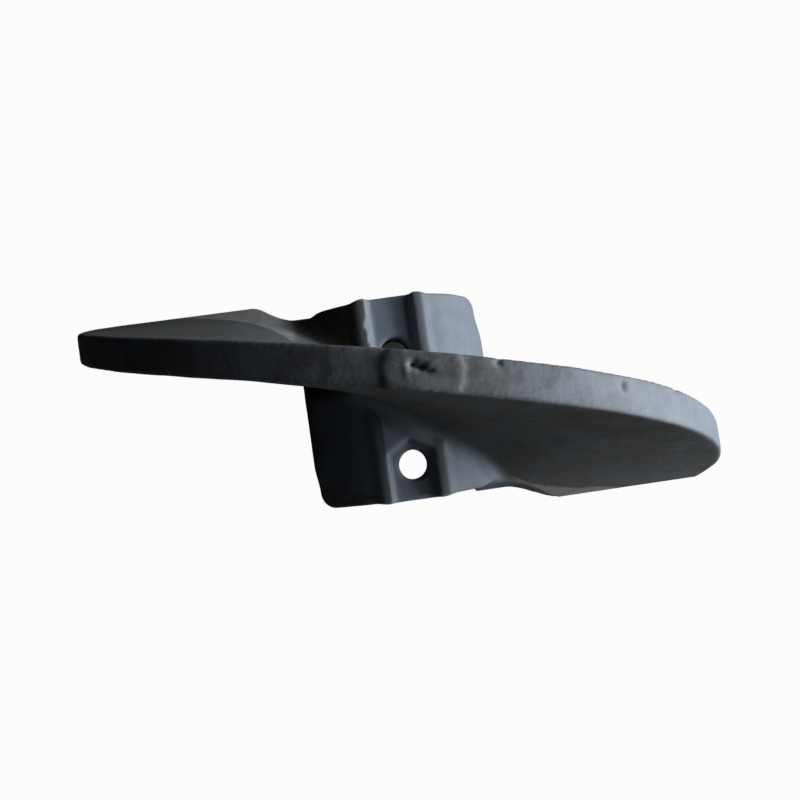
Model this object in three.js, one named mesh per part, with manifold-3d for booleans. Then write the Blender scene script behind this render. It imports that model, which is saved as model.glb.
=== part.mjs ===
// Half-turn screw flight segment: one casting, a half sleeve carrying a helical blade,
// bolted over a round shaft by two hexagon-head bolts sunk in the channels on its crown.
// Frame: millimetres. +Y runs along the shaft, +Z points from the shaft to the bolt face,
// the split plane of the half sleeve is z = 0, and the origin is on the shaft axis at mid length.
import * as THREE from 'three';
import * as BufferGeometryUtils from 'three/addons/utils/BufferGeometryUtils.js';
import Module from 'manifold-3d';

const wasm = await Module();
wasm.setup();

// Driving dimensions, in millimetres and radians.
const gap = 0.3;                    // clearance between neighbouring sections of the casting
const bladeRadius = 200;            // outer radius of the blade
const bladeThickness = 18.7;        // along the shaft
const leadPerRadian = 45.2;         // advance of the blade, so its pitch is 284 mm
const leadEase = -0.8;              // the advance is a little slower over the crown than at the ends
const bladeEndCornerRadius = 14;    // rounded outer corner of the blade's left end
const sleeveRadius = 61.2;          // outside of the half sleeve
const boreRadius = 30;              // shaft seat
const sleeveHalfLength = 63.2;
const sleeveCornerRadius = 10.5;    // two free corners of the sleeve
const rootCornerRadius = 20;        // its other two corners, where the blade's ends stand on it
const boltFaceHeight = 59.6;        // flat crown over the shaft axis
const crownHalfWidth = 20.7;        // flat crown up to its shoulders
const shoulderHalfWidth = 25.7;     // where the steep shoulders meet the round flanks
const channelHalfWidth = 14.5;      // bolt channel, 29 mm across, at the crown
const channelFloorHalfWidth = 13;   // the channel has draft, so its floor is narrower
const channelDepth = 6;
const boltHoleRadius = 9.2;
const frontHole = [1.6, -42.3];     // a little off the middle of its channel
const backHole = [0, 29.1];         // so the two bolts stand 71 mm apart along the shaft
const frontRootFillet = 10.5;       // blade root, on the sides that face the crown's open ends
const rearRootFillet = 16;          // blade root, on the undersides of the two wings
const reliefDepth = 12.4;           // the blade is cut back this far at its root, at both ends
const reliefSlope = 0.2;            // and a little further for every millimetre above the split plane
const backRelief = [66, 92];        // radii where the relief of the left end starts and ends
const frontRelief = [64, 105];      // and those of the right end
const wingAngle = THREE.MathUtils.degToRad(42);   // the crown section ends here each side
const riserRadius = 17.8;           // round pad where the metal was fed in, on the blade's edge
const riserAngle = THREE.MathUtils.degToRad(-0.4);
const riserHeight = 1.4;
const bladeInnerRadius = 42;        // the blade's grid starts inside the sleeve
const mouthRise = 40;               // the channels' cutters reach this far above the bolt face
const bladeAngleSteps = 48;
const bladeRadialSteps = 12;
const sleeveSides = 48;
const flankSteps = 12;

const channelFloorHeight = boltFaceHeight - channelDepth;
const halfTurn = Math.PI / 2;
const far = 2 * bladeRadius;
const hexagonPoint = channelHalfWidth / Math.cos(Math.PI / 6);

const paint = new THREE.MeshStandardMaterial({ color: 0x6d7a82, roughness: 0.55, metalness: 0.25 });
const wornPaint = new THREE.MeshStandardMaterial({ color: 0x5f686e, roughness: 0.6, metalness: 0.35 });
const darkPaint = new THREE.MeshStandardMaterial({ color: 0x54605f, roughness: 0.6, metalness: 0.2 });

const group = new THREE.Group();

// Turns a three.js geometry into a solid, merging the vertices that its faces share.
function solidOf(geometry) {
  const bare = geometry.index ? geometry.toNonIndexed() : geometry.clone();
  bare.deleteAttribute('normal');
  bare.deleteAttribute('uv');
  const merged = BufferGeometryUtils.mergeVertices(bare, 1e-4);
  return new wasm.Manifold(new wasm.Mesh({
    numProp: 3,
    vertProperties: new Float32Array(merged.attributes.position.array),
    triVerts: new Uint32Array(merged.index.array),
  }));
}

// The largest body of a solid, without the slivers that a cut can leave.
function mainBody(solid) {
  return solid.decompose().reduce((best, body) => (body.volume() > best.volume() ? body : best));
}

function addNode(name, solid, material) {
  const mesh = mainBody(solid).getMesh();
  const geometry = new THREE.BufferGeometry();
  geometry.setAttribute('position', new THREE.BufferAttribute(new Float32Array(mesh.vertProperties), 3));
  geometry.setIndex(new THREE.BufferAttribute(new Uint32Array(mesh.triVerts), 1));
  geometry.computeVertexNormals();
  const node = new THREE.Mesh(geometry, material);
  node.name = name;
  group.add(node);
}

function boxSolid(xMin, xMax, yMin, yMax, zMin, zMax) {
  const geometry = new THREE.BoxGeometry(xMax - xMin, yMax - yMin, zMax - zMin);
  geometry.translate((xMin + xMax) / 2, (yMin + yMax) / 2, (zMin + zMax) / 2);
  return solidOf(geometry);
}

// A cylinder along the shaft, wide enough for its flats to touch the named radius.
function shaftCylinder(radius, length) {
  return solidOf(new THREE.CylinderGeometry(radius, radius, length, sleeveSides));
}

// An outline in the x-z plane, extruded along the shaft from -length/2 to +length/2.
function alongShaft(shape, length) {
  const geometry = new THREE.ExtrudeGeometry(shape, { depth: length, bevelEnabled: false });
  geometry.translate(0, 0, -length / 2);
  geometry.rotateX(Math.PI / 2);
  return solidOf(geometry);
}

// An outline in the x-y plane, extruded upwards from zMin to zMax.
function upwards(shape, zMin, zMax) {
  const geometry = new THREE.ExtrudeGeometry(shape, { depth: zMax - zMin, bevelEnabled: false, curveSegments: 8 });
  geometry.translate(0, 0, zMin);
  return solidOf(geometry);
}

// Advance of the blade's middle surface; angle is 0 over the crown and grows towards -X.
function lead(angle) {
  return leadPerRadian * angle + leadEase * Math.sin(2 * angle);
}

// Height of a concave fillet of the given radius between the sleeve and the blade.
function filletHeight(radius, fillet) {
  const reach = Math.min(Math.max(sleeveRadius + fillet - radius, 0), fillet);
  return fillet - Math.sqrt(fillet * fillet - reach * reach);
}

// How far the blade may stand out along the shaft, given the radii of an end's relief.
function endReach(radius, angle, relief) {
  const shortfall = 1 - THREE.MathUtils.smoothstep(radius, relief[0], relief[1]);
  const full = lead(halfTurn) + bladeThickness / 2 - reliefSlope * radius * Math.cos(angle);
  return full - reliefDepth * shortfall;
}

// Both faces of the blade at a radius and angle.
function bladeFaces(radius, angle) {
  const topFillet = angle > 0 ? frontRootFillet : rearRootFillet;
  const bottomFillet = angle > 0 ? rearRootFillet : frontRootFillet;
  const top = lead(angle) + bladeThickness / 2 + filletHeight(radius, topFillet);
  const bottom = lead(angle) - bladeThickness / 2 - filletHeight(radius, bottomFillet);
  return {
    top: angle > halfTurn / 2 ? Math.min(top, endReach(radius, angle, backRelief)) : top,
    bottom: angle < -halfTurn / 2 ? Math.max(bottom, -endReach(radius, angle, frontRelief)) : bottom,
  };
}

// The blade's radius at an angle: its left outer corner at the split plane is rounded.
function edgeRadius(angle) {
  const height = bladeRadius * Math.cos(angle);
  if (angle < 0 || height >= bladeEndCornerRadius) return bladeRadius;
  const drop = bladeEndCornerRadius - height;
  return bladeRadius - bladeEndCornerRadius
    + Math.sqrt(bladeEndCornerRadius * bladeEndCornerRadius - drop * drop);
}

// Radii of the blade's rows, close together over the root fillet and the relief.
function bladeRow(row, angle, extra) {
  const share = Math.pow(row / bladeRadialSteps, 1.6);
  return bladeInnerRadius + (edgeRadius(angle) + extra - bladeInnerRadius) * share;
}

// The blade as a closed grid of quads over the half turn, its steps closest at the two ends.
function bladeSolid(extra) {
  const steps = bladeAngleSteps;
  const positions = [];
  const index = [];
  const rowLength = bladeRadialSteps + 1;
  for (let step = 0; step <= steps; step += 1) {
    const angle = halfTurn * Math.sin(halfTurn * (2 * step / steps - 1));
    for (const side of ['bottom', 'top']) {
      for (let row = 0; row < rowLength; row += 1) {
        const radius = bladeRow(row, angle, extra);
        const y = bladeFaces(radius, angle)[side];
        positions.push(-radius * Math.sin(angle), y, radius * Math.cos(angle));
      }
    }
  }
  const at = (step, side, row) => (step * 2 + side) * rowLength + row;
  const quad = (a, b, c, d) => index.push(a, c, b, a, d, c);
  for (let step = 0; step < steps; step += 1) {
    for (let row = 0; row < bladeRadialSteps; row += 1) {
      quad(at(step, 0, row), at(step + 1, 0, row), at(step + 1, 0, row + 1), at(step, 0, row + 1));
      quad(at(step, 1, row), at(step, 1, row + 1), at(step + 1, 1, row + 1), at(step + 1, 1, row));
    }
    quad(at(step, 0, 0), at(step, 1, 0), at(step + 1, 1, 0), at(step + 1, 0, 0));
    const last = bladeRadialSteps;
    quad(at(step, 0, last), at(step + 1, 0, last), at(step + 1, 1, last), at(step, 1, last));
  }
  for (let row = 0; row < bladeRadialSteps; row += 1) {
    quad(at(0, 0, row), at(0, 0, row + 1), at(0, 1, row + 1), at(0, 1, row));
    quad(at(steps, 0, row), at(steps, 1, row), at(steps, 1, row + 1), at(steps, 0, row + 1));
  }
  const geometry = new THREE.BufferGeometry();
  geometry.setAttribute('position', new THREE.Float32BufferAttribute(positions, 3));
  geometry.setIndex(index);
  return solidOf(geometry);
}

// Half-round outline of the sleeve in the x-z plane: a flat crown whose steep shoulders stand on
// the round flanks, the whole of it grown by the given clearance.
function sleeveOutline(clearance) {
  const radius = sleeveRadius + clearance;
  const footAngle = Math.acos((shoulderHalfWidth + clearance) / radius);
  const crownHalf = crownHalfWidth + clearance;
  const crownHeight = boltFaceHeight + clearance;
  const shape = new THREE.Shape();
  shape.moveTo(-radius, 0);
  shape.lineTo(radius, 0);
  for (let step = 1; step <= flankSteps; step += 1) {
    const angle = footAngle * step / flankSteps;
    shape.lineTo(radius * Math.cos(angle), radius * Math.sin(angle));
  }
  shape.lineTo(crownHalf, crownHeight);
  shape.lineTo(-crownHalf, crownHeight);
  for (let step = flankSteps; step >= 1; step -= 1) {
    const angle = footAngle * step / flankSteps;
    shape.lineTo(-radius * Math.cos(angle), radius * Math.sin(angle));
  }
  return shape;
}

// Plan of the sleeve: a rectangle with rounded corners, rounder where the blade's ends stand.
function sleevePlan() {
  const x = sleeveRadius;
  const y = sleeveHalfLength;
  const free = sleeveCornerRadius;
  const root = rootCornerRadius;
  const shape = new THREE.Shape();
  shape.moveTo(-x + free, -y);
  shape.lineTo(x - root, -y);
  shape.absarc(x - root, -y + root, root, -halfTurn, 0, false);
  shape.lineTo(x, y - free);
  shape.absarc(x - free, y - free, free, 0, halfTurn, false);
  shape.lineTo(-x + root, y);
  shape.absarc(-x + root, y - root, root, halfTurn, Math.PI, false);
  shape.lineTo(-x, -y + free);
  shape.absarc(-x + free, -y + free, free, Math.PI, Math.PI + halfTurn, false);
  return shape;
}

// Outline of a bolt channel in the x-y plane: a hexagon's point towards the blade, open at the
// sleeve's end.
function channelOutline(holeY, endSign, halfWidth) {
  const end = sleeveHalfLength + 5;
  const point = halfWidth / Math.cos(Math.PI / 6);
  return [
    [-halfWidth, end * endSign],
    [-halfWidth, holeY - endSign * point / 2],
    [0, holeY - endSign * point],
    [halfWidth, holeY - endSign * point / 2],
    [halfWidth, end * endSign],
  ];
}

// A solid between two outlines of five corners each, the upper one over the lower one.
function betweenOutlines(lower, lowerHeight, upper, upperHeight, endSign) {
  const positions = [];
  lower.forEach(([x, y]) => positions.push(x, y, lowerHeight));
  upper.forEach(([x, y]) => positions.push(x, y, upperHeight));
  const index = [];
  const sides = lower.length;
  const push = (a, b, c) => (endSign > 0 ? index.push(a, b, c) : index.push(a, c, b));
  for (let side = 0; side < sides; side += 1) {
    const next = (side + 1) % sides;
    push(side, next, next + sides);
    push(side, next + sides, side + sides);
  }
  for (let side = 1; side < sides - 1; side += 1) {
    push(0, side + 1, side);
    push(sides, sides + side, sides + side + 1);
  }
  const geometry = new THREE.BufferGeometry();
  geometry.setAttribute('position', new THREE.Float32BufferAttribute(positions, 3));
  geometry.setIndex(index);
  return solidOf(geometry);
}

// A bolt channel with draft on its walls, and the straight room over it that keeps it clear.
function channelSolid(holeY, endSign) {
  const floor = channelOutline(holeY, endSign, channelFloorHalfWidth);
  const mouth = channelOutline(holeY, endSign, channelHalfWidth);
  const drafted = betweenOutlines(floor, channelFloorHeight, mouth, boltFaceHeight, endSign);
  const room = betweenOutlines(mouth, boltFaceHeight, mouth, boltFaceHeight + mouthRise, endSign);
  return drafted.add(room);
}

function boltHole([holeX, holeY]) {
  const geometry = new THREE.CylinderGeometry(boltHoleRadius, boltHoleRadius, sleeveRadius, 32);
  geometry.rotateX(halfTurn);
  geometry.translate(holeX, holeY, sleeveRadius / 2 + 15);
  return solidOf(geometry);
}

// The whole sleeve casting, before it is parted into sections.
function sleeveSolid() {
  return alongShaft(sleeveOutline(0), 2 * sleeveHalfLength)
    .intersect(upwards(sleevePlan(), -1, bladeRadius))
    .subtract(shaftCylinder(boreRadius, 2 * sleeveHalfLength + 10))
    .subtract(channels)
    .subtract(boltHole(frontHole))
    .subtract(boltHole(backHole));
}

const channels = channelSolid(frontHole[1], -1).add(channelSolid(backHole[1], 1));
const sleeve = sleeveSolid();
const blade = bladeSolid(0).subtract(alongShaft(sleeveOutline(gap), far)).subtract(channels);

// Sections of the sleeve: two side walls with their ribs, two bolt seats and the web between them.
const seatHalfWidth = channelFloorHalfWidth - gap;
const webFront = frontHole[1] + hexagonPoint + 2;
const webBack = backHole[1] - hexagonPoint - 0.5;
addNode('sleeve_left_wall', sleeve.intersect(boxSolid(-far, -seatHalfWidth - gap, -far, far, -1, far)), paint);
addNode('sleeve_right_wall', sleeve.intersect(boxSolid(seatHalfWidth + gap, far, -far, far, -1, far)), paint);
addNode('front_bolt_seat',
  sleeve.intersect(boxSolid(-seatHalfWidth, seatHalfWidth, -far, webFront - gap, -1, far)), paint);
addNode('crown_web',
  sleeve.intersect(boxSolid(-seatHalfWidth, seatHalfWidth, webFront, webBack, -1, far)), paint);
addNode('back_bolt_seat',
  sleeve.intersect(boxSolid(-seatHalfWidth, seatHalfWidth, webBack + gap, far, -1, far)), paint);

// Sections of the blade: a wing each side and the crown between them.
function wedge(firstAngle, lastAngle) {
  const shape = new THREE.Shape();
  const point = (angle) => [-far * Math.sin(angle), far * Math.cos(angle)];
  shape.moveTo(0, 0);
  shape.lineTo(...point(lastAngle));
  shape.lineTo(...point((firstAngle + lastAngle) / 2));
  shape.lineTo(...point(firstAngle));
  return alongShaft(shape, far);
}

addNode('blade_left_wing', blade.intersect(wedge(wingAngle, halfTurn + 0.3)), paint);
addNode('blade_crown', blade.intersect(wedge(-wingAngle + gap / bladeRadius, wingAngle - gap / bladeRadius)), wornPaint);
addNode('blade_right_wing', blade.intersect(wedge(-halfTurn - 0.3, -wingAngle)), paint);

// The riser pad follows the blade's edge and is trimmed to the blade's width.
function riserPad() {
  const disc = new THREE.CylinderGeometry(riserRadius, riserRadius, riserRadius, 40);
  disc.rotateX(halfTurn);
  disc.translate(0, lead(riserAngle), bladeRadius);
  disc.rotateY(-riserAngle);
  const inside = new THREE.CylinderGeometry(bladeRadius + gap, bladeRadius + gap, far, 180);
  return solidOf(disc).intersect(bladeSolid(riserHeight)).subtract(solidOf(inside));
}
addNode('riser_pad', riserPad(), darkPaint);

export default group;
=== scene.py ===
"""Half-turn screw flight segment: the finished look of one painted, worn casting.

The CAD frame parts the casting into sections. This script makes the casting's skin once, as one
continuous cast surface, parts it at the same seams, and lets each piece stand for its CAD section.
Lengths are in millimetres until a mesh is made, and in metres in Blender.
"""

from __future__ import annotations

import logging
import math
from collections.abc import Callable
from dataclasses import dataclass, field
from enum import Enum
from functools import partial

import bmesh
import bpy
import numpy as np
from mathutils import Matrix, Vector, noise
from mathutils.bvhtree import BVHTree

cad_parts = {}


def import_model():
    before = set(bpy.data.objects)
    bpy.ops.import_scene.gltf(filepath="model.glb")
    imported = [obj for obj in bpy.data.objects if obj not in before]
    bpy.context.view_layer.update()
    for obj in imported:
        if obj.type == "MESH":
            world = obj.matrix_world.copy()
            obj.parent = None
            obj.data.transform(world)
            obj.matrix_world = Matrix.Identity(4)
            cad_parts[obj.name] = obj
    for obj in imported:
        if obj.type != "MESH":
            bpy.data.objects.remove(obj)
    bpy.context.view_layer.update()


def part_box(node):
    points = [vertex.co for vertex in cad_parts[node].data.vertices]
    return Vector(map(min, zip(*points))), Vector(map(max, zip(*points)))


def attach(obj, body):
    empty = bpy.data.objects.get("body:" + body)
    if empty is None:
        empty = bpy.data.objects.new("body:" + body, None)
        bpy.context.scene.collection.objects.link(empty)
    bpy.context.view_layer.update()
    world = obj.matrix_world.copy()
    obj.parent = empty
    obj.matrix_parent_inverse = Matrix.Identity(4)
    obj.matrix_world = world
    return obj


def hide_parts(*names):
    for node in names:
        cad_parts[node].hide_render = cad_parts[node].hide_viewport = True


log = logging.getLogger("flight_segment")

MM = 0.001
QUARTER_TURN = math.pi / 2

Point = tuple[float, float]
Span = tuple[float, float]
Outline = list[Point]
Place = tuple[float, float, float]
Colour = tuple[float, float, float]


class Cut(Enum):
    """Ways in which one solid works on another."""

    JOIN = "UNION"
    REMOVE = "DIFFERENCE"
    KEEP = "INTERSECT"


def smooth_step(value: np.ndarray | float, low: float, high: float) -> np.ndarray | float:
    """Eases from 0 at low to 1 at high.

    Args:
        value: Where to read the ease.
        low: Where it starts.
        high: Where it ends.

    Returns:
        A share from 0 to 1 for each value.
    """
    share = np.clip((value - low) / (high - low), 0.0, 1.0)
    return share * share * (3.0 - 2.0 * share)


def mesh_object(name: str, points: np.ndarray, faces: list[tuple[int, ...]]) -> bpy.types.Object:
    """Makes an object from points in millimetres.

    Args:
        name: The object's name.
        points: One row of x, y and z for each vertex.
        faces: Vertex indices of each face, counter-clockwise from outside.

    Returns:
        The new object, linked to the scene.
    """
    mesh = bpy.data.meshes.new(name)
    mesh.from_pydata((np.asarray(points, float) * MM).tolist(), [], faces)
    mesh.validate()
    worker = bmesh.new()
    worker.from_mesh(mesh)
    bmesh.ops.recalc_face_normals(worker, faces=worker.faces)
    worker.to_mesh(mesh)
    worker.free()
    made = bpy.data.objects.new(name, mesh)
    bpy.context.scene.collection.objects.link(made)
    return made


def vertex_rows(mesh: bpy.types.Mesh, name: str) -> np.ndarray:
    """Reads one vector of every vertex.

    Args:
        mesh: The mesh to read.
        name: "co" for places in metres, "normal" for normals.

    Returns:
        One row of x, y and z for each vertex.
    """
    flat = np.empty(len(mesh.vertices) * 3, np.float32)
    mesh.vertices.foreach_get(name, flat)
    return flat.reshape(-1, 3).astype(float)


def settle(target: bpy.types.Object) -> None:
    """Applies every modifier on an object.

    Args:
        target: The object, whose mesh is replaced by the finished one.
    """
    bpy.context.view_layer.update()
    evaluated = target.evaluated_get(bpy.context.evaluated_depsgraph_get())
    finished = bpy.data.meshes.new_from_object(evaluated)
    target.modifiers.clear()
    old = target.data
    target.data = finished
    bpy.data.meshes.remove(old)


def discard(*unwanted: bpy.types.Object) -> None:
    """Removes helper objects and their meshes.

    Args:
        *unwanted: The objects to remove.
    """
    for helper in unwanted:
        mesh = helper.data
        bpy.data.objects.remove(helper)
        bpy.data.meshes.remove(mesh)


def work(target: bpy.types.Object, tool: bpy.types.Object, cut: Cut) -> None:
    """Joins, cuts or keeps one solid by another.

    Args:
        target: The solid that changes.
        tool: The solid that it is worked with, which is discarded.
        cut: What the tool does.
    """
    step = target.modifiers.new("step", "BOOLEAN")
    step.operation = cut.value
    step.solver = "MANIFOLD"
    step.object = tool
    settle(target)
    discard(tool)


def prism(name: str, outline: Outline, low: float, high: float, along: str) -> bpy.types.Object:
    """Extrudes an outline between two heights.

    Args:
        name: The object's name.
        outline: Corners in the x-z plane when along is "Y", in the x-y plane when it is "Z".
        low: Where the extrusion starts.
        high: Where it ends.
        along: The axis of the extrusion.

    Returns:
        The closed solid.
    """
    sides = len(outline)
    rows = []
    for height in (low, high):
        for first, second in outline:
            rows.append((first, height, second) if along == "Y" else (first, second, height))
    faces = [tuple(range(sides)), tuple(range(sides, 2 * sides))]
    for side in range(sides):
        following = (side + 1) % sides
        faces.append((side, following, following + sides, side + sides))
    return mesh_object(name, np.array(rows), faces)


def arc(centre: Point, radius: float, first: float, last: float, steps: int) -> Outline:
    """Points on a round stretch of an outline, both ends included.

    Args:
        centre: Centre of the arc.
        radius: Its radius.
        first: Start angle in degrees.
        last: End angle in degrees.
        steps: Number of steps along it.

    Returns:
        The points in order.
    """
    angles = np.radians(np.linspace(first, last, steps + 1))
    return [(centre[0] + radius * math.cos(a), centre[1] + radius * math.sin(a)) for a in angles]


def circle(centre: Point, radius: float, steps: int) -> Outline:
    """Points on a whole circle, each of them once."""
    return arc(centre, radius, 0, 360, steps)[:-1]


@dataclass
class Blade:
    """The helical blade over half a turn.

    Angles are 0 over the crown and grow towards -X; the blade advances along the shaft with them.
    """

    radius: float = 200.0
    thickness: float = 18.7
    lead_per_radian: float = 45.2
    lead_ease: float = -0.8
    end_corner: float = 14.0
    edge_round: float = 1.2
    worn_corner: float = 0.8
    worn_degrees: Span = (48.0, 88.0)
    lifted_corner: float = 4.0
    lifted_degrees: Span = (60.0, 88.0)
    end_swell: float = 1.2
    end_swell_radians: Span = (1.05, 1.4)
    swell: float = 1.2
    swell_angle: float = -38.0
    swell_spread: float = 14.0
    swell_from: float = 120.0
    root_front: float = 10.5
    root_rear: float = 16.0
    root_change: float = 0.25
    inner_radius: float = 44.0
    sleeve_radius: float = 61.2
    relief_depth: float = 12.4
    relief_slope: float = 0.2
    relief_back: Span = (66.0, 92.0)
    relief_front: Span = (64.0, 105.0)
    steps: int = 260
    rows: int = 72
    row_crowding: float = 1.3
    corner_steps: int = 8

    def lead(self, angle: float) -> float:
        """Advance of the middle surface at an angle."""
        return self.lead_per_radian * angle + self.lead_ease * math.sin(2 * angle)

    def fillet(self, radius: np.ndarray, size: float) -> np.ndarray:
        """Height of the root fillet above the blade's face at each radius."""
        reach = np.clip(self.sleeve_radius + size - radius, 0.0, size)
        return size - np.sqrt(size * size - reach * reach)

    def edge_radius(self, angle: float) -> float:
        """Outer radius, which swells a little at the right end and rounds in at the left end.

        Args:
            angle: Angle of the section, in radians.

        Returns:
            The radius, in millimetres.
        """
        if angle < 0:
            return self.radius + self.end_swell * float(smooth_step(-angle, *self.end_swell_radians))
        drop = self.end_corner - self.radius * math.cos(angle)
        if drop <= 0:
            return self.radius
        across = math.sqrt(max(self.end_corner ** 2 - drop * drop, 0.0))
        return self.radius - self.end_corner + across

    def relief(self, radius: np.ndarray, angle: float, reach: Span) -> np.ndarray:
        """Farthest place along the shaft that the blade's relieved end may take.

        Args:
            radius: Radii to read.
            angle: Angle of the section, in radians.
            reach: Radii over which the relief rises back to the full height.

        Returns:
            The place at each radius, counted away from the crown.
        """
        end = self.lead(QUARTER_TURN) + self.thickness / 2
        full = end - self.relief_slope * radius * math.cos(angle)
        return full - self.relief_depth * (1 - smooth_step(radius, *reach))

    def faces(self, radius: np.ndarray, angle: float) -> tuple[np.ndarray, np.ndarray]:
        """Places of the two faces along the shaft.

        Args:
            radius: Radii to read.
            angle: Angle of the section, in radians.

        Returns:
            The lower and the upper face at each radius.
        """
        front_share = float(smooth_step(angle, -self.root_change, self.root_change))
        upper_root = self.root_rear + (self.root_front - self.root_rear) * front_share
        lower_root = self.root_front + (self.root_rear - self.root_front) * front_share
        middle = self.lead(angle)
        away = (math.degrees(angle) - self.swell_angle) / self.swell_spread
        swell = self.swell * math.exp(-away * away) * smooth_step(radius, self.swell_from, self.radius)
        upper = middle + self.thickness / 2 + self.fillet(radius, upper_root) + swell
        lower = middle - self.thickness / 2 - self.fillet(radius, lower_root)
        if angle > QUARTER_TURN / 2:
            upper = np.minimum(upper, self.relief(radius, angle, self.relief_back))
        if angle < -QUARTER_TURN / 2:
            lower = np.maximum(lower, -self.relief(radius, angle, self.relief_front))
        return lower, upper

    def corner_round(self, angle: float, worn: float, degrees: Span) -> float:
        """Rounding of an edge corner.

        Args:
            angle: Angle towards the blade's end, in radians.
            worn: Rounding at the end.
            degrees: Angles between which the usual rounding goes over to that.

        Returns:
            The radius of the rounding, in millimetres.
        """
        share = float(smooth_step(angle, *(math.radians(turn) for turn in degrees)))
        return self.edge_round + (worn - self.edge_round) * share

    def section(self, angle: float) -> np.ndarray:
        """One closed loop of the blade's section.

        Args:
            angle: Angle of the section, in radians.

        Returns:
            Rows of radius and place along the shaft.
        """
        edge = self.edge_radius(angle)
        lower_round = self.corner_round(-angle, self.worn_corner, self.worn_degrees)
        upper_round = self.corner_round(angle, self.lifted_corner, self.lifted_degrees)
        spread = np.linspace(0.0, 1.0, self.rows) ** self.row_crowding
        lower_rows = self.inner_radius + (edge - lower_round - self.inner_radius) * spread
        upper_rows = self.inner_radius + (edge - upper_round - self.inner_radius) * spread
        low = self.faces(lower_rows, angle)[0]
        high = self.faces(upper_rows, angle)[1]
        corner = np.radians(np.linspace(0, 90, self.corner_steps + 1))[1:]
        points = list(zip(lower_rows, low))
        for turn in corner:
            points.append((edge - lower_round + lower_round * math.sin(turn),
                           low[-1] + lower_round - lower_round * math.cos(turn)))
        for turn in corner:
            points.append((edge - upper_round + upper_round * math.cos(turn),
                           high[-1] - upper_round + upper_round * math.sin(turn)))
        points.extend(list(zip(upper_rows, high))[-2::-1])
        return np.array(points)

    def solid(self) -> bpy.types.Object:
        """Builds the closed blade.

        Returns:
            A solid through every section, capped at both ends.
        """
        angles = np.linspace(-QUARTER_TURN, QUARTER_TURN, self.steps + 1)
        loops = []
        for angle in angles:
            loop = self.section(float(angle))
            loops.append(np.column_stack((
                -loop[:, 0] * math.sin(angle), loop[:, 1], loop[:, 0] * math.cos(angle)
            )))
        count = len(loops[0])
        faces = [tuple(range(count)), tuple(range(self.steps * count, (self.steps + 1) * count))]
        for step in range(self.steps):
            for place in range(count):
                following = (place + 1) % count
                here, ahead = step * count, (step + 1) * count
                faces.append((here + place, here + following, ahead + following, ahead + place))
        return mesh_object("blade_form", np.concatenate(loops), faces)


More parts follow.
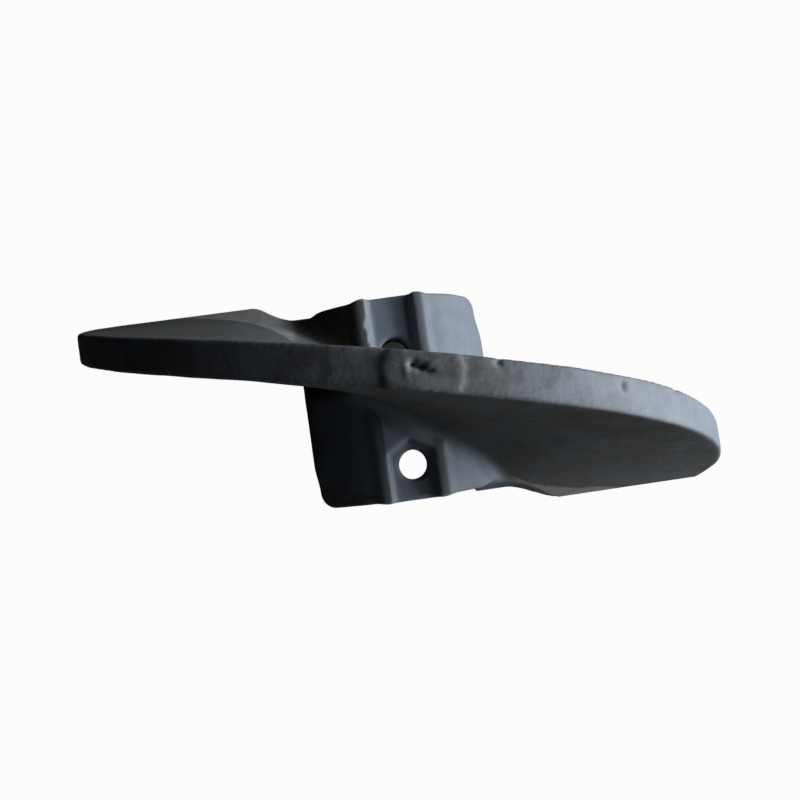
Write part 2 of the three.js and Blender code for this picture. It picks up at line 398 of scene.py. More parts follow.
@dataclass
class Sleeve:
    """The half sleeve with its flat crown, two sunken bolt channels and two bolt holes."""

    radius: float = 61.2
    bore: float = 30.0
    half_length: float = 63.2
    crown_height: float = 59.6
    crown_half_width: float = 20.7
    shoulder_half_width: float = 25.7
    corner: float = 10.5
    root_corner: float = 20.0
    channel_half_width: float = 14.5
    floor_half_width: float = 13.0
    channel_depth: float = 6.0
    channel_clearance: float = 40.0
    hole: float = 9.2
    hole_foot: float = 5.0
    hole_draft: float = 1.0
    front_hole: Point = (1.6, -42.3)
    back_hole: Point = (0.0, 29.1)
    end_bulge: tuple[float, float] = (1.2, 1.6)
    bulge_reach: Span = (6.0, 0.5)
    bulge_height: Span = (38.0, 54.0)
    bulge_across: Span = (16.0, 27.0)
    flare: float = 2.0
    flare_along: Span = (-54.0, -34.0)
    flare_across: Span = (40.0, 58.0)
    flare_inside: Span = (50.0, 58.0)
    flare_outside: Span = (64.0, 70.0)
    flare_facing: Span = (0.4, 0.8)
    spare: float = 5.0

    def outline(self, grow: float = 0.0) -> Outline:
        """Outside of the sleeve in the x-z plane.

        Args:
            grow: How far outside the sleeve the outline runs.

        Returns:
            The outline from the left end of the split plane over the crown to the right end.
        """
        radius = self.radius + grow
        start = math.degrees(math.acos((self.shoulder_half_width + grow) / radius))
        crown = (self.crown_half_width + grow, self.crown_height + grow)
        right = [crown, *arc((0, 0), radius, start, 0, 40)]
        left = [(-x, z) for x, z in reversed(right)]
        return left + right

    def body(self) -> bpy.types.Object:
        """Builds the outside of the sleeve.

        Returns:
            The solid, with its four corners rounded.
        """
        body = prism("sleeve_form", self.outline(), -self.half_length, self.half_length, "Y")
        corners = ((1, 1, self.corner), (-1, -1, self.corner), (-1, 1, self.root_corner),
                   (1, -1, self.root_corner))
        top = self.radius + self.spare
        for across, along, turn in corners:
            centre = (across * (self.radius - turn), along * (self.half_length - turn))
            first = 0 if across > 0 else 180
            last = first + 90 * across * along
            round_part = arc(centre, turn, first, last, 14)
            outer = (across * (self.radius + self.spare), along * (self.half_length + self.spare))
            waste = [(outer[0], centre[1]), *round_part, (centre[0], outer[1]), outer]
            work(body, prism("corner_waste", waste, -self.spare, top, "Z"), Cut.REMOVE)
        return body

    def shaft(self) -> bpy.types.Object:
        """The room that the shaft takes."""
        round_bore = circle((0, 0), self.bore, 96)
        return prism("shaft_room", round_bore, -2 * self.half_length, 2 * self.half_length, "Y")

    def channel(self, hole: float, end: int) -> bpy.types.Object:
        """The room of one bolt channel.

        Args:
            hole: Place of its bolt hole along the shaft.
            end: 1 for the channel that opens at the back, -1 for the front.

        Returns:
            The closed room, wider at its mouth than at its floor.
        """
        rows = []
        levels = (
            (self.floor_half_width, self.crown_height - self.channel_depth),
            (self.channel_half_width, self.crown_height),
            (self.channel_half_width, self.crown_height + self.channel_clearance),
        )
        far = end * (self.half_length + self.spare)
        for half, height in levels:
            point = half / math.cos(math.pi / 6)
            for x, y in ((-half, far), (-half, hole - end * point / 2), (0, hole - end * point),
                         (half, hole - end * point / 2), (half, far)):
                rows.append((x, y, height))
        sides = len(rows) // len(levels)
        faces = [tuple(range(sides)), tuple(range(len(rows) - sides, len(rows)))]
        for start in range(0, len(rows) - sides, sides):
            for side in range(sides):
                here, following = start + side, start + (side + 1) % sides
                faces.append((here, following, following + sides, here + sides))
        return mesh_object("channel_room", np.array(rows), faces)

    def bolt_room(self, hole: Point) -> bpy.types.Object:
        """The room of one bolt's shank, a little wider towards the shaft.

        Args:
            hole: Place of the bolt hole across and along the shaft.

        Returns:
            The closed room.
        """
        room = prism("bolt_room", circle(hole, self.hole, 64), self.hole_foot, self.crown_height, "Z")
        widen = 1 + self.hole_draft / self.hole
        across, along = hole[0] * MM, hole[1] * MM
        for point in room.data.vertices:
            if point.co.z < self.bore * MM:
                point.co.x = across + (point.co.x - across) * widen
                point.co.y = along + (point.co.y - along) * widen
        return room


@dataclass
class Pit:
    """A small hollow or bump in the cast surface.

    Attributes:
        place: Its middle, in millimetres.
        reach: How wide it is to each side, along x, y and z.
        depth: How deep it is; negative for a bump.
        steepness: How fast its sides fall off.
        limit: Square of the farthest reach at which it still counts.
    """

    place: Place
    reach: Place
    depth: float
    steepness: float = 1.6
    limit: float = 6.0

    def depth_at(self, points: np.ndarray) -> np.ndarray:
        """How deep the pit is at some points.

        Args:
            points: One row for each point, in millimetres.

        Returns:
            A depth for each point.
        """
        away = (points - np.array(self.place)) / np.array(self.reach)
        square = (away * away).sum(axis=1)
        return self.depth * np.exp(-self.steepness * square) * (square < self.limit)


@dataclass
class Casting:
    """The whole casting: form, cast surface and the seams between its sections."""

    blade: Blade = field(default_factory=Blade)
    sleeve: Sleeve = field(default_factory=Sleeve)
    grain: float = 1.25
    soften: int = 5
    riser_radius: float = 17.8
    riser_angle: float = -0.4
    riser_height: float = 1.5
    riser_round: float = 1.0
    riser_foot: float = 12.0
    riser_top: float = 20.0
    wave: float = 0.3
    slow_wave: float = 26.0
    quick_wave: float = 9.0
    quick_share: float = 0.45
    quick_start: Place = (7.0, 3.0, 1.0)
    calm_height: float = 6.0
    pits: tuple[Pit, ...] = (
        Pit((-2.4, 3.0, 200), (2.2, 1.9, 9), 3.8),
        Pit((0.8, 1.4, 200), (2.4, 1.7, 9), 3.8),
        Pit((4.2, -0.6, 200), (2.6, 1.1, 9), 2.2),
        Pit((-6.0, 1.2, 200), (1.2, 4.2, 9), -0.8),
        Pit((35.5, -0.6, 197), (2.0, 2.4, 6), 1.6),
        Pit((97.0, -17.8, 175), (2.2, 2.6, 6), 1.8),
        Pit((132.7, -22.8, 149.6), (2.2, 1.6, 4), 0.9),
        Pit((-14.4, 47.5, 58.8), (2.2, 4.0, 4), 1.8),
        Pit((-14.2, 38.5, 58.2), (1.8, 2.4, 4), 1.3),
    )

    def riser_centre(self) -> Point:
        """Place of the riser's middle across and along the shaft."""
        angle = math.radians(self.riser_angle)
        return -self.blade.radius * math.sin(angle), self.blade.lead(angle)

    def riser(self) -> bpy.types.Object:
        """The raised round on the blade's edge where the metal was fed in.

        Returns:
            A disc that is cut off by a slightly larger blade.
        """
        outline = circle(self.riser_centre(), self.riser_radius, 64)
        edge = self.blade.radius
        disc = prism("riser", outline, edge - self.riser_foot, edge + self.riser_top, "Z")
        taller = Blade(radius=edge + self.riser_height, edge_round=self.riser_round)
        work(disc, taller.solid(), Cut.KEEP)
        return disc

    def form(self) -> bpy.types.Object:
        """Joins the blade, the sleeve and the riser and cuts what is hollow.

        Returns:
            The whole form, before it has a cast surface.
        """
        whole = self.sleeve.body()
        work(whole, self.blade.solid(), Cut.JOIN)
        work(whole, self.riser(), Cut.JOIN)
        work(whole, self.sleeve.shaft(), Cut.REMOVE)
        for hole, end in ((self.sleeve.front_hole, -1), (self.sleeve.back_hole, 1)):
            work(whole, self.sleeve.channel(hole[1], end), Cut.REMOVE)
            work(whole, self.sleeve.bolt_room(hole), Cut.REMOVE)
        return whole

    def skin(self) -> bpy.types.Object:
        """Makes the fine cast surface over the form.

        Returns:
            The whole casting as one continuous surface.
        """
        whole = self.form()
        voxels = whole.modifiers.new("grain", "REMESH")
        voxels.mode = "VOXEL"
        voxels.voxel_size = self.grain * MM
        softer = whole.modifiers.new("soften", "SMOOTH")
        softer.factor = 0.5
        softer.iterations = self.soften
        settle(whole)
        self.weather(whole.data)
        return whole

    def sleeve_flare(self, points: np.ndarray, normals: np.ndarray) -> np.ndarray:
        """How far each flank of the sleeve flares out towards the blade's root.

        Args:
            points: The skin's points, in millimetres.
            normals: Their normals.

        Returns:
            A height along the normal for each point.
        """
        sleeve = self.sleeve
        across = np.abs(points[:, 0])
        towards = -np.sign(points[:, 0]) * points[:, 1]
        radius = np.hypot(points[:, 0], points[:, 2])
        share = smooth_step(towards, *sleeve.flare_along) * smooth_step(across, *sleeve.flare_across)
        share *= 1 - smooth_step(radius, *sleeve.flare_outside)
        share *= smooth_step(radius, *sleeve.flare_inside)
        return sleeve.flare * share * (1 - smooth_step(np.abs(normals[:, 1]), *sleeve.flare_facing))

    def end_bulge(self, points: np.ndarray) -> np.ndarray:
        """How far the crown's two ends stand out along the shaft.

        Args:
            points: The skin's points, in millimetres.

        Returns:
            A shift along the shaft for each point.
        """
        sleeve = self.sleeve
        front, back = sleeve.end_bulge
        start, end = (sleeve.half_length - reach for reach in sleeve.bulge_reach)
        share = smooth_step(points[:, 2], *sleeve.bulge_height)
        share *= 1 - smooth_step(np.abs(points[:, 0]), *sleeve.bulge_across)
        at_back = smooth_step(points[:, 1], start, end)
        at_front = smooth_step(-points[:, 1], start, end)
        return share * (back * at_back - front * at_front)

    def weather(self, mesh: bpy.types.Mesh) -> None:
        """Gives the surface its slow unevenness, its flares and its pits, and keeps its foot flat.

        Args:
            mesh: The skin, in metres.
        """
        points = vertex_rows(mesh, "co") / MM
        normals = vertex_rows(mesh, "normal")
        height = np.zeros(len(points))
        for index, point in enumerate(points):
            slow = noise.noise(Vector(point) / self.slow_wave)
            quick = noise.noise(Vector(point) / self.quick_wave + Vector(self.quick_start))
            height[index] = self.wave * (slow + self.quick_share * quick)
        height *= smooth_step(points[:, 2], 0.0, self.calm_height)
        height += self.sleeve_flare(points, normals)
        for pit in self.pits:
            height -= pit.depth_at(points)
        points += normals * height[:, None]
        points[:, 1] += self.end_bulge(points)
        points[:, 2] = np.maximum(points[:, 2], 0.0)
        mesh.vertices.foreach_set("co", (points * MM).astype(np.float32).ravel())
        mesh.update()


class Slot(Enum):
    """The record's finishes."""

    PAINTED = "painted_casting"
    WORN = "worn_casting"


class Mark(Enum):
    """What the skin remembers at each point, as a share from 0 to 1."""

    EDGE = "worn_edge"
    # Painted shade: concave hollows and creases made darker.
    HOLLOW = "dirty_hollow"
    RUBBED = "rubbed_face"
    BARE = "bare_rim"
    RUST = "rust_bloom"
    # Painted shade: the left flank and the rib tops made near black.
    FLANK_SHADE = "black_grime"
    # Painted light: a lighter band on the blade's two relieved ends, where they catch the light.
    LIT_BAND = "scuffed_band"


@dataclass
class Section:
    """One section of the casting: its piece, the CAD node it stands for, its finish and its cuts."""

    piece: str
    node: str
    slot: Slot
    steps: list[tuple[Callable[[], bpy.types.Object], Cut]]


@dataclass
class Seams:
    """Where the sections meet, read from the CAD boxes."""

    sleeve: Sleeve
    wing_angle: float = 42.0
    blade_end: float = 120.0
    far: float = 300.0
    seam_depth: float = 0.6
    riser_reach: float = 19.4
    riser_depth: float = 1.6

    def between(self, low_node: str, high_node: str, axis: int) -> float:
        """Middle of the gap between two neighbouring CAD sections, in millimetres."""
        return (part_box(low_node)[1][axis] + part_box(high_node)[0][axis]) / 2 / MM

    def slab(self, x: Span, y: Span) -> bpy.types.Object:
        """A tall box between two planes across and two along the shaft."""
        outline = [(x[0], y[0]), (x[1], y[0]), (x[1], y[1]), (x[0], y[1])]
        return prism("slab", outline, -self.far, self.far, "Z")

    def core(self) -> bpy.types.Object:
        """The room that the sleeve takes, down past the split plane.

        Returns:
            The closed room.
        """
        upper = self.sleeve.outline(self.seam_depth)
        (first, _), (last, _) = upper[0], upper[-1]
        corners = [*upper, (last, -self.far), (first, -self.far)]
        return prism("core", corners, -self.far, self.far, "Y")

    def wedge(self, first: float, last: float) -> bpy.types.Object:
        """The room between two angles of the blade.

        Args:
            first: The smaller angle, in degrees.
            last: The larger one.

        Returns:
            The closed room, with its point on the shaft's axis.
        """
        corners = [(0.0, 0.0)]
        for angle in np.radians(np.linspace(first, last, 4)):
            corners.append((-self.far * math.sin(angle), self.far * math.cos(angle)))
        return prism("wedge", corners, -self.far, self.far, "Y")

    def riser_room(self, casting: Casting) -> bpy.types.Object:
        """The room of the riser and a thin seat under it.

        Args:
            casting: The whole casting, which gives the riser's place.

        Returns:
            The closed room.
        """
        edge = casting.blade.radius
        outline = circle(casting.riser_centre(), self.riser_reach, 96)
        disc = prism("riser_room", outline, edge / 2, self.far, "Z")
        under = circle((0, 0), edge - self.riser_depth, 360)
        work(disc, prism("riser_seat", under, -self.far, self.far, "Y"), Cut.REMOVE)
        return disc

    def sections(self, casting: Casting) -> list[Section]:
        """Lists every section with the solids that part it from the rest.

        Args:
            casting: The whole casting, which gives the riser's place.

        Returns:
            The sections, sleeve first.
        """
        across = self.between("front_bolt_seat", "sleeve_right_wall", 0)
        front = self.between("front_bolt_seat", "crown_web", 1)
        back = self.between("crown_web", "back_bolt_seat", 1)
        far = self.far
        sleeve = (
            ("cast_sleeve_left_wall", "sleeve_left_wall", (-far, -across), (-far, far)),
            ("cast_sleeve_right_wall", "sleeve_right_wall", (across, far), (-far, far)),
            ("cast_front_bolt_seat", "front_bolt_seat", (-across, across), (-far, front)),
            ("cast_crown_web", "crown_web", (-across, across), (front, back)),
            ("cast_back_bolt_seat", "back_bolt_seat", (-across, across), (back, far)),
        )
        found = [
            Section(piece, node, Slot.PAINTED, [
                (self.core, Cut.KEEP),
                (partial(self.slab, x, y), Cut.KEEP),
            ])
            for piece, node, x, y in sleeve
        ]
        wing = self.wing_angle
        blade = (
            ("cast_blade_left_wing", "blade_left_wing", Slot.PAINTED, wing, self.blade_end),
            ("cast_blade_crown", "blade_crown", Slot.WORN, -wing, wing),
            ("cast_blade_right_wing", "blade_right_wing", Slot.PAINTED, -self.blade_end, -wing),
        )
        riser_room = partial(self.riser_room, casting)
        found += [
            Section(piece, node, slot, [
                (partial(self.wedge, first, last), Cut.KEEP),
                (self.core, Cut.REMOVE),
                (riser_room, Cut.REMOVE),
            ])
            for piece, node, slot, first, last in blade
        ]
        found.append(Section("cast_riser_pad", "riser_pad", Slot.WORN, [(riser_room, Cut.KEEP)]))
        return found


def triangle_shares(points: np.ndarray, corners: np.ndarray) -> np.ndarray:
    """Shares of each triangle's three corners at a point on it.

    Args:
        points: One row for each point.
        corners: Three corners for each point.

    Returns:
        Three shares for each point, which add up to 1.
    """
    side = corners[:, 1] - corners[:, 0]
    other = corners[:, 2] - corners[:, 0]
    reach = points - corners[:, 0]
    across = (side * side).sum(axis=1)
    mixed = (side * other).sum(axis=1)
    along = (other * other).sum(axis=1)
    on_side = (reach * side).sum(axis=1)
    on_other = (reach * other).sum(axis=1)
    scale = np.maximum(across * along - mixed * mixed, 1e-24)
    second = np.clip((along * on_side - mixed * on_other) / scale, 0, 1)
    third = np.clip((across * on_other - mixed * on_side) / scale, 0, 1)
    first = np.clip(1 - second - third, 0, 1)
    shares = np.column_stack((first, second, third))
    return shares / shares.sum(axis=1, keepdims=True)


class SkinRecord:
    """The whole casting's smooth normals and marks, for the pieces that are parted from it.

    Attributes:
        cut_facing: A face whose corners agree less than this with the skin is a cut and stays flat.
    """

    cut_facing: float = 0.45

    def __init__(self, skin: bpy.types.Object, casting: Casting) -> None:
        """Reads the skin and works out its marks.

        Args:
            skin: The whole casting.
            casting: Its sizes.
        """
        mesh = skin.data
        mesh.calc_loop_triangles()
        self.points = vertex_rows(mesh, "co")
        self.normals = vertex_rows(mesh, "normal")
        corners = np.empty(len(mesh.loop_triangles) * 3, np.int32)
        mesh.loop_triangles.foreach_get("vertices", corners)
        self.triangles = corners.reshape(-1, 3)
        self.tree = BVHTree.FromPolygons(self.points.tolist(), self.triangles.tolist())
        edges = np.empty(len(mesh.edges) * 2, np.int32)
        mesh.edges.foreach_get("vertices", edges)
        self.marks = Wear(casting.blade).marks(
            self.points / MM, self.normals, edges.reshape(-1, 2)
        )

    def read(self, places: np.ndarray) -> tuple[np.ndarray, dict[Mark, np.ndarray]]:
        """Reads the skin at the points nearest to some places.

        Args:
            places: One row for each place, in metres.

        Returns:
            The smooth normal and every mark at each place.
        """
        index = np.empty(len(places), np.int64)
        nearest = np.empty((len(places), 3))
        for row, place in enumerate(places.tolist()):
            found, _, triangle, _ = self.tree.find_nearest(place)
            index[row] = triangle
            nearest[row] = found
        corners = self.triangles[index]
        shares = triangle_shares(nearest, self.points[corners])
        normals = (self.normals[corners] * shares[:, :, None]).sum(axis=1)
        normals /= np.linalg.norm(normals, axis=1, keepdims=True)
        marks = {mark: (values[corners] * shares).sum(axis=1) for mark, values in self.marks.items()}
        return normals, marks

    def dress(self, piece: bpy.types.Object) -> None:
        """Gives a piece the skin's normals and marks, and flat normals where it was cut.

        Args:
            piece: A piece parted from the skin.
        """
        mesh = piece.data
        normals, marks = self.read(vertex_rows(mesh, "co"))
        for mark, values in marks.items():
            attribute = mesh.attributes.new(mark.value, "FLOAT", "POINT")
            attribute.data.foreach_set("value", values.astype(np.float32))
        self.set_normals(mesh, normals)

    def set_normals(self, mesh: bpy.types.Mesh, normals: np.ndarray) -> None:
        """Sets a mesh's normals: the skin's where it follows the skin, flat ones on its cuts.

        Args:
            mesh: The mesh of a piece.
            normals: The skin's normal at each of its vertices.
        """
        face_normals = np.empty(len(mesh.polygons) * 3, np.float32)
        mesh.polygons.foreach_get("normal", face_normals)
        face_normals = face_normals.reshape(-1, 3)
        totals = np.empty(len(mesh.polygons), np.int32)
        mesh.polygons.foreach_get("loop_total", totals)
        owner = np.repeat(np.arange(len(mesh.polygons)), totals)
        vertex = np.empty(len(mesh.loops), np.int32)
        mesh.loops.foreach_get("vertex_index", vertex)
        facing = (normals[vertex] * face_normals[owner]).sum(axis=1)
        follows = (np.bincount(owner, facing) / totals > self.cut_facing)[owner]
        custom = np.where(follows[:, None], normals[vertex], face_normals[owner])
        mesh.polygons.foreach_set("use_smooth", [True] * len(mesh.polygons))
        mesh.normals_split_custom_set(custom.tolist())


@dataclass
class Wear:
    """Works out where the casting is worn, rubbed bare or rusty, and where shade and light are painted
    on it.

    Each Span holds the two values between which a share goes from none to full. The creases are
    drawn as points, each a distance from the middle plane and a height, in millimetres.
    """

    blade: Blade
    spread: int = 3
    edge_bend: Span = (0.05, 0.26)
    hollow_bend: Span = (0.02, 0.16)
    blade_outside: Span = (2.0, 14.0)
    face_facing: Span = (0.6, 0.85)
    rim_inside: Span = (6.0, 1.5)
    rim_facing: Span = (0.55, 0.8)
    bare_right: Span = (6.0, 32.0)
    bare_left: Span = (12.0, 24.0)
    bare_left_loss: float = 0.55
    rust_place: Place = (-34.0, -60.0, 30.0)
    rust_reach: Place = (22.0, 7.0, 30.0)
    sleeve_outside: Span = (66.0, 80.0)
    flank_across: Span = (19.0, 25.0)
    flank_along: Span = (2.0, 12.0)
    top_facing: Span = (0.9, 0.98)
    top_height: Span = (57.5, 59.0)
    rib_across: Span = (14.0, 15.5)
    # How strongly shade is painted on the left and the right rib tops.
    rib_shade: tuple[float, float] = (0.75, 0.4)
    # Where the painted light band on the blade's ends lies.
    lit_band_facing: Span = (0.3, 0.6)
    lit_band_depth: Span = (-1.0, 2.0)
    left_lit_band: Span = (58.0, 64.0)
    right_lit_band: Span = (62.0, 70.0)
    left_crease: tuple[Point, ...] = (
        (60.0, 69.0), (66.0, 58.0), (73.0, 49.0), (82.0, 40.0),
        (90.0, 34.0), (104.0, 26.0), (121.0, 17.0), (150.0, 0.0),
    )
    right_crease: tuple[Point, ...] = (
        (65.0, 33.0), (78.0, 25.0), (89.0, 20.5), (99.0, 18.4),
        (113.0, 14.0), (127.0, 13.0), (150.0, 0.0),
    )

    def curve(self, points: np.ndarray, normals: np.ndarray, edges: np.ndarray) -> np.ndarray:
        """How far each point stands out of its neighbours.

        Args:
            points: The skin's points, in millimetres.
            normals: Their normals.
            edges: Pairs of neighbouring points.

        Returns:
            A bend for each point, in units of 1 over a millimetre; negative in hollows.
        """
        first, second = edges[:, 0], edges[:, 1]
        step = points[second] - points[first]
        length = (step * step).sum(axis=1)
        rise_first = -(step * normals[first]).sum(axis=1) / length
        rise_second = (step * normals[second]).sum(axis=1) / length
        count = len(points)
        degree = np.bincount(first, minlength=count) + np.bincount(second, minlength=count)
        total = np.bincount(first, rise_first, count) + np.bincount(second, rise_second, count)
        bend = total / np.maximum(degree, 1)
        for _ in range(self.spread):
            around = np.bincount(first, bend[second], count) + np.bincount(second, bend[first], count)
            bend = 0.5 * bend + 0.5 * around / np.maximum(degree, 1)
        return bend

    def bare_rim(self, radius: np.ndarray, angle: np.ndarray, flat: np.ndarray) -> np.ndarray:
        """Where the blade's edge has lost its paint.

        Args:
            radius: Distance of each point from the shaft's axis.
            angle: Its angle, in degrees.
            flat: How far it faces along the shaft.

        Returns:
            A share from 0 to 1 for each point.
        """
        inner, outer = (self.blade.radius - depth for depth in self.rim_inside)
        rim = smooth_step(radius, inner, outer) * (1 - smooth_step(flat, *self.rim_facing))
        kept = 1 - smooth_step(-angle, *self.bare_right)
        return rim * (kept - self.bare_left_loss * smooth_step(angle, *self.bare_left))

    def rust(self, points: np.ndarray) -> np.ndarray:
        """Where rust blooms low on the front of the sleeve, as a share for each point."""
        away = (points - np.array(self.rust_place)) / np.array(self.rust_reach)
        return np.exp(-(away * away).sum(axis=1))

    def painted_shade(self, points: np.ndarray, normals: np.ndarray, radius: np.ndarray) -> np.ndarray:
        """Where shade is painted near black: on the left flank behind the blade and on top of the
        ribs, more on the left rib.

        Args:
            points: The skin's points, in millimetres.
            normals: Their normals.
            radius: Their distance from the shaft's axis.

        Returns:
            A share from 0 to 1 for each point.
        """
        x, y, z = points.T
        on_sleeve = 1 - smooth_step(radius, *self.sleeve_outside)
        flank = smooth_step(-x, *self.flank_across) * on_sleeve * smooth_step(y, *self.flank_along)
        top = smooth_step(normals[:, 2], *self.top_facing) * smooth_step(z, *self.top_height)
        rib_top = top * on_sleeve * smooth_step(np.abs(x), *self.rib_across)
        return np.maximum(flank, rib_top * np.where(x < 0, *self.rib_shade))

    def lit_bands(self, points: np.ndarray, normals: np.ndarray) -> np.ndarray:
        """Where a lighter tone is painted on the two ends of the blade below the crease of their
        reliefs, as painted light.

        Args:
            points: The skin's points, in millimetres.
            normals: Their normals.

        Returns:
            A share from 0 to 1 for each point.
        """
        x, _, z = points.T
        both = []
        for side, crease, reach in ((-1, self.left_crease, self.left_lit_band),
                                    (1, self.right_crease, self.right_lit_band)):
            height = np.interp(side * x, *zip(*crease))
            below = smooth_step(height - z, *self.lit_band_depth)
            facing = smooth_step(-side * normals[:, 1], *self.lit_band_facing)
            both.append(below * facing * smooth_step(side * x, *reach))
        return np.maximum(*both)

    def marks(self, points: np.ndarray, normals: np.ndarray,
              edges: np.ndarray) -> dict[Mark, np.ndarray]:
        """Works out every mark.

        Args:
            points: The skin's points, in millimetres.
            normals: Their normals.
            edges: Pairs of neighbouring points.

        Returns:
            A share from 0 to 1 for each point, for each mark.
        """
        bend = self.curve(points, normals, edges)
        radius = np.hypot(points[:, 0], points[:, 2])
        angle = np.degrees(np.arctan2(-points[:, 0], points[:, 2]))
        flat = np.abs(normals[:, 1])
        near, far = (self.blade.sleeve_radius + reach for reach in self.blade_outside)
        return {
            Mark.EDGE: smooth_step(bend, *self.edge_bend),
            # Painted shade in concave hollows and creases, from how far each point bends inward.
            Mark.HOLLOW: smooth_step(-bend, *self.hollow_bend),
            Mark.RUBBED: smooth_step(radius, near, far) * smooth_step(flat, *self.face_facing),
            Mark.BARE: self.bare_rim(radius, angle, flat),
            Mark.RUST: self.rust(points),
            # Painted shade on the left flank and the rib tops.
            Mark.FLANK_SHADE: self.painted_shade(points, normals, radius),
            # Painted light on the relieved ends of the blade.
            Mark.LIT_BAND: self.lit_bands(points, normals),
        }


class Sockets(Enum):
    """Kinds of socket on a shader node group."""

    NUMBER = "NodeSocketFloat"
    PLACE = "NodeSocketVector"


@dataclass
class Graph:
    """A small helper that adds and joins shader nodes."""

    tree: bpy.types.ShaderNodeTree

    def add(self, kind: str, **values: object) -> bpy.types.Node:
        """Adds a node and sets its properties and inputs.

        Args:
            kind: Its type.
            **values: Properties by name; inputs by name with the prefix "in_" and spaces as "_".

        Returns:
            The new node.
        """
        node = self.tree.nodes.new(kind)
        for name, value in values.items():
            if name.startswith("in_"):
                self.feed(node.inputs[name[3:].replace("_", " ")], value)
            else:
                setattr(node, name, value)
        return node

    def feed(self, socket: bpy.types.NodeSocket, value: object) -> None:
        """Joins a socket to another, or sets its own value.

        Args:
            socket: The input.
            value: An output socket, or a number or colour.
        """
        if isinstance(value, bpy.types.NodeSocket):
            self.tree.links.new(value, socket)
        else:
            socket.default_value = value

    def feed_all(self, node: bpy.types.Node, *values: object) -> None:
        """Feeds a node's first inputs in order."""
        for socket, value in zip(node.inputs, values):
            self.feed(socket, value)

    def noise(self, place: object, scale: float, detail: float, roughness: float) -> object:
        """Adds a noise.

        Args:
            place: Where to read it.
            scale: Cycles for each metre.
            detail: Number of finer layers.
            roughness: Share of each finer layer.

        Returns:
            A value of about 0.2 to 0.8.
        """
        node = self.add("ShaderNodeTexNoise", in_Vector=place, in_Scale=scale, in_Detail=detail,
                        in_Roughness=roughness)
        return node.outputs["Fac"]

    def ramp(self, value: object, low: float, high: float, start: float = 0.0,
             end: float = 1.0) -> object:
        """Eases between two numbers.

        Args:
            value: What drives the ease.
            low: Value at which it starts.
            high: Value at which it ends.
            start: Number at the start.
            end: Number at the end.

        Returns:
            The eased number.
        """
        node = self.add("ShaderNodeMapRange", interpolation_type="SMOOTHSTEP", in_Value=value,
                        in_From_Min=low, in_From_Max=high, in_To_Min=start, in_To_Max=end)
        return node.outputs["Result"]

    def math(self, operation: str, first: object, second: object) -> object:
        """Does one step of arithmetic.

        Args:
            operation: The step.
            first: First number.
            second: Second number.

        Returns:
            The result.
        """
        node = self.add("ShaderNodeMath", operation=operation)
        self.feed_all(node, first, second)
        return node.outputs["Value"]

    def blend(self, share: object, first: object, second: object) -> object:
        """Mixes two colours.

        Args:
            share: Share of the second colour.
            first: First colour.
            second: Second colour.

        Returns:
            The mixed colour.
        """
        node = self.add("ShaderNodeMix", data_type="RGBA")
        colours = [socket for socket in node.inputs if socket.type == "RGBA"]
        self.feed(node.inputs["Factor"], share)
        self.feed(colours[0], first)
        self.feed(colours[1], second)
        return next(socket for socket in node.outputs if socket.type == "RGBA")

    def for_camera(self, felt: object, seen: object) -> object:
        """Lets the camera see another shader than the light does.

        Args:
            felt: The shader for light that bounces.
            seen: The shader for the camera.

        Returns:
            The mixed shader.
        """
        rays = self.add("ShaderNodeLightPath")
        mixed = self.add("ShaderNodeMixShader")
        self.feed_all(mixed, rays.outputs["Is Camera Ray"], felt, seen)
        return mixed.outputs["Shader"]

    def group(self, tree: bpy.types.ShaderNodeTree, **values: object) -> bpy.types.Node:
        """Places a shared group.

        Args:
            tree: The group.
            **values: Its inputs by name.

        Returns:
            The node that holds it.
        """
        node = self.add("ShaderNodeGroup", node_tree=tree)
        for name, value in values.items():
            self.feed(node.inputs[name], value)
        return node

    def mark(self, mark: Mark) -> bpy.types.NodeSocket:
        """Reads one of the skin's marks."""
        return self.add("ShaderNodeAttribute", attribute_name=mark.value).outputs["Fac"]

    def broken(self, mark: Mark, breaks: object, least: float) -> object:
        """A mark that is broken up, but never to less than a share of itself."""
        return self.math("MULTIPLY", self.mark(mark), self.ramp(breaks, 0.0, 1.0, least, 1.0))


